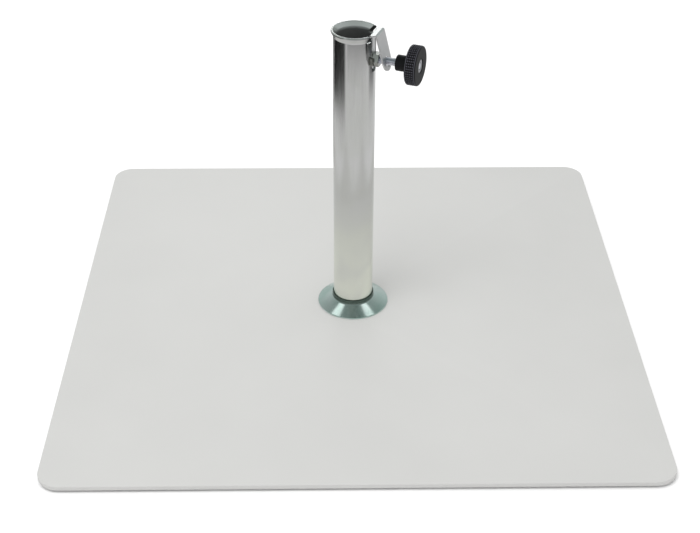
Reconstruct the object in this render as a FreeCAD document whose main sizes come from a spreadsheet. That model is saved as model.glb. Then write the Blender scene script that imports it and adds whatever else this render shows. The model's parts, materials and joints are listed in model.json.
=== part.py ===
import FreeCAD, Part
import os
import Sketcher

# Parasol base in millimetres, +Z up. The origin is the middle of the surface that the base stands on.
# A square steel plate carries an upright socket tube, bolted on from below through a hidden foot disc.
# A pressed cover ring hides the joint. At the rim, a bent sheet-metal leaf hangs on a knobbed screw;
# its inner leg lies in a slot of the tube's wall and is pressed onto the pole when the knob is turned.

DIMENSIONS = [
    # alias, value, what it is
    ("plate_side", 600, "side of the square plate"),
    ("plate_thick", 5, "thickness of the plate"),
    ("plate_corner", 22, "corner radius of the plate"),
    ("plate_break", 0.8, "rounding of the plate's top edge"),
    ("glide_wide", 30, "diameter of a glide"),
    ("glide_thick", 2.5, "thickness of a glide"),
    ("glide_round", 0.6, "rounding of a glide's lower edge"),
    ("glide_inset", 55, "from the plate's edge to the middle of a glide"),
    ("tube_wide", 42.4, "outer diameter of the socket tube"),
    ("tube_wall", 2.6, "wall of the socket tube"),
    ("tube_rise", 322, "from the plate's top to the rim"),
    ("flare_wide", 47.2, "outer diameter of the flared rim"),
    ("flare_tall", 6, "height of the flare"),
    ("flare_lip", 1.6, "upright edge of the flare"),
    ("flare_sheet", 2, "wall of the flare at the rim"),
    ("flare_bend", 4, "radius at the foot of the flare"),
    ("lip_bevel", 0.6, "bevels of the rim"),
    ("notch_near", 12.5, "notch in the flare, from the clamp's line towards -Y"),
    ("notch_far", 16.5, "notch in the flare, from the clamp's line towards +Y"),
    ("notch_deep", 8, "depth of the notch"),
    ("slot_wide", 11.5, "slot for the leaf's inner leg"),
    ("slot_deep", 41, "from the rim to the slot's end"),
    ("slot_corner", 4, "corner radius at the slot's end"),
    ("disc_wide", 61, "diameter of the foot disc"),
    ("disc_thick", 3.5, "thickness of the foot disc"),
    ("weld_leg", 2.5, "leg of the fillet weld round the tube's foot"),
    ("fixing_circle", 53.2, "pitch circle of the fixing screws"),
    ("fixing_wide", 5, "thread of the fixing screws"),
    ("fixing_clear", 0.5, "the plate's holes are this much wider than the thread"),
    ("fixing_slack", 0.05, "the shank stands this far inside its thread"),
    ("fixing_chamfer", 0.5, "chamfer at the end of the fixing screws"),
    ("fixing_long", 8.1, "length of the fixing screws"),
    ("fixing_head", 11.2, "countersink across its mouth"),
    ("fixing_sink", 90, "angle of the countersink, degrees"),
    ("head_gap", 0.2, "the head stands this far inside the countersink's mouth"),
    ("fixing_key", 3, "hexagon socket across its flats"),
    ("key_deep", 1.8, "depth of the hexagon socket"),
    ("cover_wide", 77, "diameter of the cover ring"),
    ("cover_sheet", 1, "sheet of the cover ring"),
    ("cover_edge", 1.4, "height of its outer edge"),
    ("cover_slope", 24, "slope of its cone, degrees"),
    ("cover_bend", 1.8, "radius between its cone and its neck"),
    ("cover_round", 0.7, "rounding of its outer edge"),
    ("cover_neck", 13, "height of its neck"),
    ("cover_gap", 0.3, "between the neck and the tube"),
    ("clamp_angle", 21.5, "the screw points this far from +X towards -Y, degrees"),
    ("screw_drop", 28, "from the rim down to the screw's axis"),
    ("screw_wide", 7.9, "screw over its M8 thread"),
    ("screw_chamfer", 0.9, "chamfers of the screw's ends"),
    ("screw_slack", 0.05, "between the screw and the knob or insert"),
    ("screw_bore", 8.1, "threaded hole of the nut"),
    ("nut_flats", 13, "nut across its flats"),
    ("nut_tall", 6.5, "height of the nut"),
    ("nut_chamfer", 30, "slope of the nut's corners, degrees"),
    ("nut_face", 12.8, "diameter of the nut's flat face"),
    ("nut_gap", 0.02, "between the nut and the tube's wall"),
    ("bead_radius", 2.4, "radius of a weld bead beside the nut"),
    ("bead_tall", 9.2, "height of a weld bead"),
    ("bead_end", 2, "rounding of a bead's ends"),
    ("bead_out", 0.4, "from the nut's seat to the bead's middle"),
    ("bead_aside", 0.6, "from the nut's corner to the bead's middle"),
    ("leaf_sheet", 1.5, "sheet of the clamp leaf"),
    ("leaf_wide", 22, "width of the leaf"),
    ("leaf_gap", 0.15, "the inner leg stands this far behind the bore's wall"),
    ("leaf_reach", 26.8, "from the tube's axis to the outer fold"),
    ("fold_outer", 2.2, "outer radius of the leaf's folds"),
    ("fold_inner", 0.7, "inner radius of the leaf's folds"),
    ("tab_rise", 0.4, "the tab's inner fold above the rim"),
    ("tab_slope", 10, "slope of the tab, degrees"),
    ("tab_root", 2, "below the rim the inner leg narrows"),
    ("leg_wide", 9, "width of the inner leg"),
    ("leg_drop", 37, "from the rim to the inner leg's end"),
    ("leaf_tilt", 14.5, "tilt of the outer leg, degrees"),
    ("leaf_long", 40.5, "length of the outer leg"),
    ("leaf_round", 10.9, "corner radius at the outer leg's end"),
    ("leaf_hole", 9.4, "hole for the screw in the leaf"),
    ("dimple_along", 36.3, "from the outer fold to the dimple"),
    ("dimple_ball", 5, "radius of the dimple's ball"),
    ("dimple_deep", 0.5, "depth of the dimple"),
    ("tip_gap", 0.1, "between the screw's tip and the leaf"),
    ("hub_reach", 44.5, "from the tube's axis to the knob's hub"),
    ("hub_wide", 16, "diameter of the hub"),
    ("hub_long", 13, "length of the hub"),
    ("hub_round", 0.8, "rounding of the hub's end"),
    ("hub_root", 1, "radius between the hub and the grip"),
    ("knob_wide", 40, "diameter of the knob"),
    ("knob_thick", 11.5, "thickness of the knob's grip"),
    ("knob_round", 1.8, "rounding of the grip's edges"),
    ("recess_wide", 14, "recess in the knob's face"),
    ("recess_deep", 0.6, "depth of the recess"),
    ("recess_round", 0.3, "rounding of the recess's mouth"),
    ("insert_wide", 13, "diameter of the steel insert"),
    ("insert_start", 3, "from the hub's end to the insert"),
    ("insert_round", 0.4, "rounding of the insert's mouth"),
    ("screw_short", 0.4, "the screw ends this far inside the insert"),
    ("run_over", 1, "how far a cut runs past the material"),
]

doc = FreeCAD.newDocument("parasol_base")
sheet = doc.addObject("Spreadsheet::Sheet", "dims")
for row, (alias, value, note) in enumerate(DIMENSIONS, start=1):
    sheet.set(f"A{row}", note)
    sheet.set(f"B{row}", str(value))
    sheet.setAlias(f"B{row}", alias)
doc.recompute()

# Heights above the ground and reaches from the tube's axis that several pieces share.
PLATE_TOP = "(dims.glide_thick + dims.plate_thick)"
TUBE_FOOT = f"({PLATE_TOP} + dims.disc_thick)"
TUBE_LONG = "(dims.tube_rise - dims.disc_thick)"
RIM = f"({PLATE_TOP} + dims.tube_rise)"
SCREW_HEIGHT = f"({RIM} - dims.screw_drop)"
TUBE_OUT = "(dims.tube_wide / 2)"
BORE = "(dims.tube_wide / 2 - dims.tube_wall)"
LEG_FRONT = f"({BORE} + dims.leaf_gap)"
LEG_BACK = f"({LEG_FRONT} + dims.leaf_sheet)"
NUT_SEAT = f"(sqrt({TUBE_OUT}^2 - (dims.slot_wide / 2)^2) + dims.nut_gap)"
NUT_CORNER = "(dims.nut_flats / sqrt(3))"
KNOB_LONG = "(dims.hub_long + dims.knob_thick)"
INSERT_END = f"({KNOB_LONG} - dims.recess_deep)"

CORNERS = [(1, 1), (-1, 1), (-1, -1), (1, -1)]
TINY = 0.001
parts = []


# ---- sketches and features whose sizes are expressions in the sheet's words ----

def size(expression):
    return float(sheet.evalExpression(str(expression)))


def new_body(label):
    body = doc.addObject("PartDesign::Body", label)
    body.Label = label
    parts.append(body)
    return body


def origin_part(body, role):
    return next(item for item in body.Origin.OriginFeatures if item.Role == role)


def new_sketch(body, name, role, offset="0"):
    """A sketch on one of the body's own origin planes, or this far in front of it."""
    sketch = body.newObject("Sketcher::SketchObject", name)
    sketch.AttachmentSupport = [(origin_part(body, role), "")]
    sketch.MapMode = "FlatFace"
    sketch.AttachmentOffset = FreeCAD.Placement(FreeCAD.Vector(0, 0, size(offset)), FreeCAD.Rotation())
    sketch.setExpression("AttachmentOffset.Base.z", offset)
    return sketch


def pin(sketch, piece, point, x, y):
    """Holds one point of a sketch at x, y."""
    for kind, place in (("DistanceX", x), ("DistanceY", y)):
        rule = sketch.addConstraint(Sketcher.Constraint(kind, -1, 1, piece, point, size(place)))
        sketch.setExpression(f"Constraints[{rule}]", str(place))


def outline(sketch, corners):
    """A closed outline of straight edges through the corners."""
    spots = [FreeCAD.Vector(size(x), size(y), 0) for x, y in corners]
    first = sketch.GeometryCount
    for start, end in zip(spots, spots[1:] + spots[:1]):
        sketch.addGeometry(Part.LineSegment(start, end), False)
    for turn, (x, y) in enumerate(corners):
        before = first + (turn - 1) % len(corners)
        sketch.addConstraint(Sketcher.Constraint("Coincident", before, 2, first + turn, 1))
        pin(sketch, first + turn, 1, x, y)


def circle(sketch, x, y, radius):
    centre = FreeCAD.Vector(size(x), size(y), 0)
    ring = sketch.addGeometry(Part.Circle(centre, FreeCAD.Vector(0, 0, 1), size(radius)), False)
    pin(sketch, ring, 3, x, y)
    rule = sketch.addConstraint(Sketcher.Constraint("Radius", ring, size(radius)))
    sketch.setExpression(f"Constraints[{rule}]", radius)


def rectangle(sketch, low_x, low_y, high_x, high_y):
    outline(sketch, [(low_x, low_y), (high_x, low_y), (high_x, high_y), (low_x, high_y)])


def hexagon(sketch, flats):
    """A hexagon round the sketch's origin, with corners on its first axis."""
    corner = f"({flats} / sqrt(3))"
    half, flat = f"({corner} / 2)", f"({flats} / 2)"
    outline(sketch, [(corner, "0"), (half, flat), (f"-{half}", flat),
                     (f"-{corner}", "0"), (f"-{half}", f"-{flat}"), (half, f"-{flat}")])


def volume(body):
    return 0.0 if body.Shape.isNull() else body.Shape.Volume


def pad(body, sketch, length, midplane=False):
    feature = body.newObject("PartDesign::Pad", "pad")
    feature.Profile = sketch
    feature.Midplane = midplane
    feature.setExpression("Length", length)
    doc.recompute()
    return feature


def pocket(body, sketch, length="", forward=False):
    """A cut against the sketch's normal, or along it when forward; right through without a length."""
    before = volume(body)
    feature = body.newObject("PartDesign::Pocket", "pocket")
    feature.Profile = sketch
    feature.Reversed = forward
    if length:
        feature.setExpression("Length", length)
    else:
        feature.Type = "ThroughAll"
    doc.recompute()
    if not volume(body) < before - TINY:
        raise ValueError(f"{body.Label}: {feature.Name} cut nothing")
    return feature


def turned(body, corners, kind="PartDesign::Revolution", role="XZ_Plane", axis="V_Axis"):
    """The outline turned a full circle: round +Z from the XZ plane, or round +X from the XY plane."""
    before = volume(body)
    sketch = new_sketch(body, "section", role)
    outline(sketch, corners)
    feature = body.newObject(kind, "turned")
    feature.Profile = sketch
    feature.ReferenceAxis = (sketch, [axis])
    feature.Angle = 360
    doc.recompute()
    if abs(volume(body) - before) < TINY:
        raise ValueError(f"{body.Label}: {feature.Name} changed nothing")
    return feature


def turned_lengthwise(body, corners, kind="PartDesign::Revolution"):
    return turned(body, corners, kind, "XY_Plane", "H_Axis")


def round_edges(body, radius, wanted):
    """Rounds the edges of the body's shape so far for which wanted(edge) is true."""
    base = body.Tip
    names = [f"Edge{number}" for number, edge in enumerate(base.Shape.Edges, start=1) if wanted(edge)]
    if not names:
        raise ValueError(f"{body.Label}: no edge to round")
    feature = body.newObject("PartDesign::Fillet", "fillet")
    feature.Base = (base, names)
    feature.setExpression("Radius", radius)
    doc.recompute()
    return feature


def ring_of(radius, place, axis="z"):
    """True for the circular edge of this radius whose centre stands at this place along the axis."""
    def wanted(edge):
        curve = edge.Curve
        if not isinstance(curve, Part.Circle):
            return False
        centre = getattr(curve.Center, axis)
        return abs(curve.Radius - size(radius)) < TINY and abs(centre - size(place)) < TINY
    return wanted


def is_upright(edge):
    start, end = edge.Vertexes[0].Point, edge.Vertexes[-1].Point
    return abs(start.x - end.x) < TINY and abs(start.y - end.y) < TINY and edge.Length > TINY


def all_round(body, feature, count):
    """Repeats a feature round the body's own +Z axis."""
    pattern = body.newObject("PartDesign::PolarPattern", "pattern")
    pattern.Originals = [feature]
    pattern.Axis = (origin_part(body, "Z_Axis"), [""])
    pattern.Angle = 360
    pattern.Occurrences = count
    body.Tip = pattern
    doc.recompute()


def stand(item, x, y, z):
    item.setExpression("Placement.Base.x", x)
    item.setExpression("Placement.Base.y", y)
    item.setExpression("Placement.Base.z", z)


def seat(item, out, up, across="0"):
    """Stands an item on the clamp's line: out from the tube's axis along the screw, across it, and up."""
    item.Placement = FreeCAD.Placement(FreeCAD.Vector(), FreeCAD.Rotation(FreeCAD.Vector(0, 0, 1), -1))
    item.setExpression("Placement.Rotation.Angle", "-dims.clamp_angle")
    stand(item,
          f"({out}) * cos(dims.clamp_angle) + ({across}) * sin(dims.clamp_angle)",
          f"({across}) * cos(dims.clamp_angle) - ({out}) * sin(dims.clamp_angle)",
          up)


# ---- plate, glides and the fixing of the tube ----

def base_plate():
    """Square plate with rounded corners and four countersunk holes that open underneath."""
    body = new_body("base_plate")
    half = "dims.plate_side / 2"
    square = new_sketch(body, "square", "XY_Plane")
    rectangle(square, f"-{half}", f"-{half}", half, half)
    pad(body, square, "dims.plate_thick")
    round_edges(body, "dims.plate_corner", is_upright)
    top = size("dims.plate_thick")
    round_edges(body, "dims.plate_break", lambda edge: all(abs(v.Z - top) < TINY for v in edge.Vertexes))
    mark = new_sketch(body, "fixing", "XY_Plane")
    circle(mark, "dims.fixing_circle / 2 * cos(45)", "dims.fixing_circle / 2 * sin(45)",
           "(dims.fixing_wide + dims.fixing_clear) / 2")
    doc.recompute()
    before = volume(body)
    hole = body.newObject("PartDesign::Hole", "hole")
    hole.Profile = mark
    hole.Reversed = True
    hole.DepthType = "ThroughAll"
    hole.setExpression("Diameter", "dims.fixing_wide + dims.fixing_clear")
    hole.HoleCutType = "Countersink"
    hole.HoleCutCustomValues = True
    hole.setExpression("HoleCutCountersinkAngle", "dims.fixing_sink")
    hole.setExpression("HoleCutDiameter", "dims.fixing_head")
    doc.recompute()
    all_round(body, hole, len(CORNERS))
    if not volume(body) < before - TINY:
        raise ValueError("base_plate: the fixing holes cut nothing")
    stand(body, "0", "0", "dims.glide_thick")


def glide(number, side_x, side_y):
    """Rubber disc under one corner of the plate."""
    body = new_body(f"glide_{number}")
    sketch = new_sketch(body, "disc", "XY_Plane")
    circle(sketch, "0", "0", "dims.glide_wide / 2")
    pad(body, sketch, "dims.glide_thick")
    round_edges(body, "dims.glide_round", ring_of("dims.glide_wide / 2", "0"))
    reach = "(dims.plate_side / 2 - dims.glide_inset)"
    stand(body, f"{side_x} * {reach}", f"{side_y} * {reach}", "0")


def foot_disc():
    """Steel disc that closes the tube's foot, with four tapped holes for the fixing screws."""
    body = new_body("foot_disc")
    sketch = new_sketch(body, "disc", "XY_Plane")
    circle(sketch, "0", "0", "dims.disc_wide / 2")
    pad(body, sketch, "dims.disc_thick")
    mark = new_sketch(body, "tapping", "XY_Plane")
    diagonal = ("dims.fixing_circle / 2 * cos(45)", "dims.fixing_circle / 2 * sin(45)")
    circle(mark, *diagonal, "dims.fixing_wide / 2")
    all_round(body, pocket(body, mark, forward=True), len(CORNERS))
    stand(body, "0", "0", PLATE_TOP)


def foot_weld():
    """Fillet weld between the tube's foot and the disc."""
    body = new_body("foot_weld")
    turned(body, [(TUBE_OUT, "0"), (f"{TUBE_OUT} + dims.weld_leg", "0"), (TUBE_OUT, "dims.weld_leg")])
    stand(body, "0", "0", TUBE_FOOT)


def fixing_screw(number):
    """Countersunk socket screw, driven up from below, flush with the plate's underside."""
    body = new_body(f"fixing_screw_{number}")
    head = "(dims.fixing_head / 2 - dims.head_gap)"
    shank = "(dims.fixing_wide / 2 - dims.fixing_slack)"
    turned(body, [("0", "0"), (head, "0"), (shank, f"({head} - {shank}) / tan(dims.fixing_sink / 2)"),
                  (shank, "dims.fixing_long - dims.fixing_chamfer"),
                  (f"{shank} - dims.fixing_chamfer", "dims.fixing_long"), ("0", "dims.fixing_long")])
    key = new_sketch(body, "key", "XY_Plane")
    hexagon(key, "dims.fixing_key")
    pocket(body, key, "dims.key_deep", forward=True)
    angle = 45 + 90 * (number - 1)
    stand(body, f"dims.fixing_circle / 2 * cos({angle})", f"dims.fixing_circle / 2 * sin({angle})",
          "dims.glide_thick")


def cover_ring():
    """Pressed sheet ring: a shallow cone that stands on the plate and a neck round the tube."""
    body = new_body("cover_ring")
    edge = "(dims.cover_wide / 2)"
    neck_in = f"({TUBE_OUT} + dims.cover_gap)"
    neck_out = f"({neck_in} + dims.cover_sheet)"
    rise = "tan(dims.cover_slope)"
    under = "dims.cover_sheet / cos(dims.cover_slope)"
    fold = f"(dims.cover_edge + ({edge} - {neck_out}) * {rise})"
    turned(body, [(edge, "0"), (edge, "dims.cover_edge"), (neck_out, fold), (neck_out, "dims.cover_neck"),
                  (neck_in, "dims.cover_neck"), (neck_in, f"{fold} + dims.cover_sheet * {rise} - {under}"),
                  (f"{edge} - dims.cover_sheet", f"dims.cover_edge + dims.cover_sheet * {rise} - {under}"),
                  (f"{edge} - dims.cover_sheet", "0")])
    round_edges(body, "dims.cover_bend", ring_of(neck_out, fold))
    round_edges(body, "dims.cover_round", ring_of(edge, "dims.cover_edge"))
    stand(body, "0", "0", PLATE_TOP)


# ---- socket tube ----

def socket_tube():
    """Round tube with a flared rim, a notch through the flare and a slot below it for the leaf's leg."""
    body = new_body("socket_tube")
    flare_foot = f"({TUBE_LONG} - dims.flare_tall)"
    flare_out = "(dims.flare_wide / 2)"
    flare_in = f"({flare_out} - dims.flare_sheet)"
    turned(body, [(BORE, "0"), (TUBE_OUT, "0"), (TUBE_OUT, flare_foot),
                  (flare_out, f"{TUBE_LONG} - dims.flare_lip"), (flare_out, f"{TUBE_LONG} - dims.lip_bevel"),
                  (f"{flare_out} - dims.lip_bevel", TUBE_LONG),
                  (f"{flare_in} + dims.lip_bevel", TUBE_LONG), (flare_in, f"{TUBE_LONG} - dims.lip_bevel"),
                  (BORE, flare_foot)])
    round_edges(body, "dims.flare_bend", ring_of(TUBE_OUT, flare_foot))
    notch = new_sketch(body, "notch", "YZ_Plane")
    rectangle(notch, "-dims.notch_near", f"{TUBE_LONG} - dims.notch_deep",
              "dims.notch_far", f"{TUBE_LONG} + dims.run_over")
    pocket(body, notch, "dims.flare_wide", forward=True)
    slot = new_sketch(body, "slot", "YZ_Plane")
    rectangle(slot, "-dims.slot_wide / 2", f"{TUBE_LONG} - dims.slot_deep",
              "dims.slot_wide / 2", f"{TUBE_LONG} + dims.run_over")
    pocket(body, slot, "dims.flare_wide", forward=True)
    slot_end = size(f"{TUBE_LONG} - dims.slot_deep")
    wall = size("dims.tube_wall")
    round_edges(body, "dims.slot_corner", lambda edge: edge.BoundBox.ZLength < TINY
                and abs(edge.BoundBox.ZMin - slot_end) < TINY and edge.BoundBox.YLength < TINY
                and edge.BoundBox.XLength < 2 * wall)
    seat(body, "0", TUBE_FOOT)


# ---- clamp ----

def weld_nut():
    """Hexagon nut on the tube, flats up and down, bridging the slot."""
    body = new_body("weld_nut")
    sketch = new_sketch(body, "hexagon", "YZ_Plane")
    hexagon(sketch, "dims.nut_flats")
    pad(body, sketch, "dims.nut_tall")
    beyond = f"({NUT_CORNER} + dims.run_over)"
    start = "(dims.nut_face / 2)"
    turned_lengthwise(body, [("dims.nut_tall", start), ("dims.nut_tall", beyond),
                             (f"dims.nut_tall - ({beyond} - {start}) * tan(dims.nut_chamfer)", beyond)],
                      "PartDesign::Groove")
    bore = new_sketch(body, "bore", "YZ_Plane")
    circle(bore, "0", "0", "dims.screw_bore / 2")
    pocket(body, bore, forward=True)
    seat(body, NUT_SEAT, SCREW_HEIGHT)
    return body


def nut_weld(label, side, nut):
    """Weld bead in the corner between one side of the nut and the tube."""
    rod = doc.addObject("Part::Cylinder", f"{label}_rod")
    rod.setExpression("Radius", "dims.bead_radius")
    rod.setExpression("Height", "dims.bead_tall")
    seat(rod, f"{NUT_SEAT} + dims.bead_out", f"{SCREW_HEIGHT} - dims.bead_tall / 2",
         f"{side} * ({NUT_CORNER} + dims.bead_aside)")
    doc.recompute()
    bead = doc.addObject("Part::Fillet", f"{label}_bead")
    bead.Base = rod
    ends = [number for number, edge in enumerate(rod.Shape.Edges, start=1)
            if isinstance(edge.Curve, Part.Circle)]
    bead.Edges = [(number, size("dims.bead_end"), size("dims.bead_end")) for number in ends]
    wall = doc.addObject("Part::Cylinder", f"{label}_wall")
    wall.setExpression("Radius", TUBE_OUT)
    wall.setExpression("Height", RIM)
    off_wall = doc.addObject("Part::Cut", f"{label}_off_wall")
    off_wall.Base = bead
    off_wall.Tool = wall
    weld = doc.addObject("Part::Cut", label)
    weld.Base = off_wall
    weld.Tool = nut
    weld.Label = label
    parts.append(weld)


def clamp_leaf():
    """Bent strip hung on the screw: inner leg in the slot, tab over the rim, outer leg with a round end.

    Its heights are counted from the rim and its reaches from the tube's axis."""
    body = new_body("clamp_leaf")
    sheet_thick, tilt, slope = "dims.leaf_sheet", "dims.leaf_tilt", "dims.tab_slope"
    fold_up = f"(dims.tab_rise + (dims.leaf_reach - {LEG_FRONT}) * tan({slope}))"
    inside = f"({sheet_thick} * (1 - sin({tilt} - {slope})) / cos({tilt} - {slope}))"

    def on_leg(along, deep):
        """A point of the outer leg, this far along it and this deep behind its outer face."""
        return (f"dims.leaf_reach + ({along}) * sin({tilt}) - ({deep}) * cos({tilt})",
                f"{fold_up} - ({along}) * cos({tilt}) - ({deep}) * sin({tilt})")

    under_tab = f"dims.tab_rise + {sheet_thick} * tan({slope}) - {sheet_thick} / cos({slope})"
    side_view = new_sketch(body, "side_view", "XZ_Plane")
    outline(side_view, [(LEG_FRONT, "-dims.leg_drop"), (LEG_FRONT, "dims.tab_rise"), on_leg("0", "0"),
                        on_leg("dims.leaf_long", "0"), on_leg("dims.leaf_long", sheet_thick),
                        on_leg(inside, sheet_thick), (LEG_BACK, under_tab), (LEG_BACK, "-dims.leg_drop")])
    pad(body, side_view, "dims.leaf_wide", midplane=True)

    beside = "(dims.leaf_wide / 2 + dims.run_over)"
    below = "-(dims.leaf_long + dims.run_over)"
    narrow = new_sketch(body, "narrow", "YZ_Plane", f"{LEG_BACK} + dims.run_over")
    for side in ("", "-"):
        outline(narrow, [(f"{side}dims.leg_wide / 2", "-dims.tab_root"),
                         (f"{side}{beside}", "-dims.tab_root"),
                         (f"{side}{beside}", below), (f"{side}dims.leg_wide / 2", below)])
    pocket(body, narrow)
    hole = new_sketch(body, "hole", "YZ_Plane", f"{LEG_BACK} + dims.run_over")
    circle(hole, "0", "-dims.screw_drop", "dims.leaf_hole / 2")
    pocket(body, hole, forward=True)

    end_z = size(on_leg("dims.leaf_long", "0")[1])

    def end_corner(edge):
        box = edge.BoundBox
        return edge.Length < 2 * size(sheet_thick) and box.ZMin < end_z + TINY and box.YLength < TINY
    round_edges(body, "dims.leaf_round", end_corner)

    def fold_line(x, z):
        def wanted(edge):
            box = edge.BoundBox
            return box.YLength > size("dims.leg_wide") - TINY and box.XLength < TINY \
                and abs(box.XMin - size(x)) < TINY and abs(box.ZMin - size(z)) < TINY
        return wanted
    round_edges(body, "dims.fold_outer", fold_line(*on_leg("0", "0")))
    round_edges(body, "dims.fold_inner", fold_line(*on_leg(inside, sheet_thick)))
    round_edges(body, "dims.fold_outer", fold_line(LEG_FRONT, "dims.tab_rise"))
    round_edges(body, "dims.fold_inner", fold_line(LEG_BACK, under_tab))

    dimple = body.newObject("PartDesign::SubtractiveSphere", "dimple")
    dimple.setExpression("Radius", "dims.dimple_ball")
    ball_x, ball_z = on_leg("dims.dimple_along", "dims.dimple_deep - dims.dimple_ball")
    stand(dimple, ball_x, "0", ball_z)
    doc.recompute()
    seat(body, "0", RIM)


def clamp_screw():
    """M8 screw from its tip behind the leaf's inner leg to its end in the knob's insert."""
    body = new_body("clamp_screw")
    radius, chamfer = "(dims.screw_wide / 2)", "dims.screw_chamfer"
    tip = f"({LEG_BACK} + dims.tip_gap - dims.hub_reach)"
    end = f"({INSERT_END} - dims.screw_short)"
    turned_lengthwise(body, [(tip, "0"), (end, "0"), (end, f"{radius} - {chamfer}"),
                             (f"{end} - {chamfer}", radius), (f"{tip} + {chamfer}", radius),
                             (tip, f"{radius} - {chamfer}")])
    seat(body, "dims.hub_reach", SCREW_HEIGHT)


def knob():
    """Moulded plastic knob: hub, grip and a round recess in the face."""
    body = new_body("knob")
    bore, grip = "(dims.screw_wide / 2 + dims.screw_slack)", "(dims.knob_wide / 2)"
    pocket_radius = "(dims.insert_wide / 2)"
    turned_lengthwise(body, [("0", bore), ("0", "dims.hub_wide / 2"), ("dims.hub_long", "dims.hub_wide / 2"),
                             ("dims.hub_long", grip), (KNOB_LONG, grip), (KNOB_LONG, "dims.recess_wide / 2"),
                             (INSERT_END, "dims.recess_wide / 2"), (INSERT_END, pocket_radius),
                             ("dims.insert_start", pocket_radius), ("dims.insert_start", bore)])
    round_edges(body, "dims.knob_round", ring_of(grip, "dims.hub_long", "x"))
    round_edges(body, "dims.knob_round", ring_of(grip, KNOB_LONG, "x"))
    round_edges(body, "dims.hub_round", ring_of("dims.hub_wide / 2", "0", "x"))
    round_edges(body, "dims.hub_root", ring_of("dims.hub_wide / 2", "dims.hub_long", "x"))
    round_edges(body, "dims.recess_round", ring_of("dims.recess_wide / 2", KNOB_LONG, "x"))
    seat(body, "dims.hub_reach", SCREW_HEIGHT)


def knob_insert():
    """Steel bush moulded into the knob, round the screw's end."""
    body = new_body("knob_insert")
    bore, outside = "(dims.screw_wide / 2 + dims.screw_slack)", "(dims.insert_wide / 2)"
    turned_lengthwise(body, [("dims.insert_start", bore), ("dims.insert_start", outside),
                             (INSERT_END, outside), (INSERT_END, bore)])
    round_edges(body, "dims.insert_round", ring_of(bore, INSERT_END, "x"))
    seat(body, "dims.hub_reach", SCREW_HEIGHT)


base_plate()
for place, (corner_x, corner_y) in enumerate(CORNERS, start=1):
    glide(place, corner_x, corner_y)
    fixing_screw(place)
foot_disc()
foot_weld()
cover_ring()
socket_tube()
clamp_nut = weld_nut()
nut_weld("nut_weld_left", 1, clamp_nut)
nut_weld("nut_weld_right", -1, clamp_nut)
clamp_leaf()
clamp_screw()
knob()
knob_insert()
doc.recompute()

# ---- check every object, then write each sub-part to its own file ----

for item in doc.Objects:
    if "Invalid" in item.State or "Error" in item.State:
        raise RuntimeError(f"{item.Label} failed: {item.State}")
os.makedirs("parts", exist_ok=True)
for item in parts:
    shape = item.Shape
    if shape.isNull() or not shape.isValid() or len(shape.Solids) != 1:
        raise RuntimeError(f"{item.Label} is not one valid solid")
    shape.exportStep(f"parts/{item.Label}.step")
    box = shape.BoundBox
    print(f"{item.Label:18s} {shape.Volume / 1000:9.2f} cm3  x {box.XMin:8.2f} {box.XMax:8.2f}"
          f"  y {box.YMin:8.2f} {box.YMax:8.2f}  z {box.ZMin:7.2f} {box.ZMax:7.2f}")
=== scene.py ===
# %% [markdown]
# # A parasol base, dressed for the shop window
# A parasol base is a heavy steel plate with a socket tube in the middle and a clamp that holds the pole.
# The engineering model already gives the size and place of every piece, and it comes in here as a fixed
# frame. This lesson builds the fine shapes round that frame, gives each one the finish that its maker
# gave it, and lights the result in a small studio.

# %% Load the frame
import json
import math
import random

import bmesh
import bpy
from mathutils import Matrix, Vector


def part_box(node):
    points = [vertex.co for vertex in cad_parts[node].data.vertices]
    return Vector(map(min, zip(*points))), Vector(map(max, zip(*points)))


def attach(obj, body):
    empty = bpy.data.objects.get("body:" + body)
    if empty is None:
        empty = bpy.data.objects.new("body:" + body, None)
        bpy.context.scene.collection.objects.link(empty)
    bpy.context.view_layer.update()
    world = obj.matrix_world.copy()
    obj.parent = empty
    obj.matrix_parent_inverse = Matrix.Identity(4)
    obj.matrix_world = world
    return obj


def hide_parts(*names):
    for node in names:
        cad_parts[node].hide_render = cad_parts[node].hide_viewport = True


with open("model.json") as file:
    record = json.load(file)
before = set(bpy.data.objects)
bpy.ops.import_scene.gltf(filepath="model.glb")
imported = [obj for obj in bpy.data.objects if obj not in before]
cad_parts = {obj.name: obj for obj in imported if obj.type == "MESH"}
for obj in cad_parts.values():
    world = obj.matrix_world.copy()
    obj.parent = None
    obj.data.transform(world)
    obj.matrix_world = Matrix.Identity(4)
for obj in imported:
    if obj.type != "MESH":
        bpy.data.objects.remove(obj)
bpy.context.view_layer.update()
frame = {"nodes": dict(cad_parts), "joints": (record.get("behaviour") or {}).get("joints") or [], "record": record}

MM = 0.001

# %% [markdown]
# ## Where things are
# Three directions are enough for the clamp: out along the screw, across it, and up. The knob's joint
# already holds the screw's line, so the directions are read from there and never typed in. A piece's
# reach along a direction comes from its own points, because a box along the room's axes would be too
# large for a part that stands at an angle.

# %% Directions of the clamp
knob_joint = next(joint for joint in frame["joints"] if joint["name"] == "knob_turn")
OUT = -Vector(knob_joint["axis"]).normalized()
UP = Vector((0, 0, 1))
ACROSS = UP.cross(OUT)
SCREW_LEVEL = knob_joint["pos_m"][2]
CLAMP = Matrix((OUT, ACROSS, UP)).transposed().to_4x4()
SCREW_LINE = Matrix.Translation((0, 0, SCREW_LEVEL)) @ Matrix((ACROSS, UP, OUT)).transposed().to_4x4()


def reach(node, direction):
    """Lowest and highest place of a node's points along a direction."""
    along = [corner.co.dot(direction) for corner in frame["nodes"][node].data.vertices]
    return min(along), max(along)


print("screw level in mm:", round(SCREW_LEVEL / MM, 2), "out:", [round(part, 4) for part in OUT])

# %% [markdown]
# ## Outlines with soft corners
# Pressed and turned metal has no perfectly sharp corner, and a rounded one catches a thin line of light.
# A bevel modifier could round the finished mesh. Rounding the flat outline first is cleaner, because
# every corner can then have its own radius and the mesh stays made of even strips.

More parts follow.
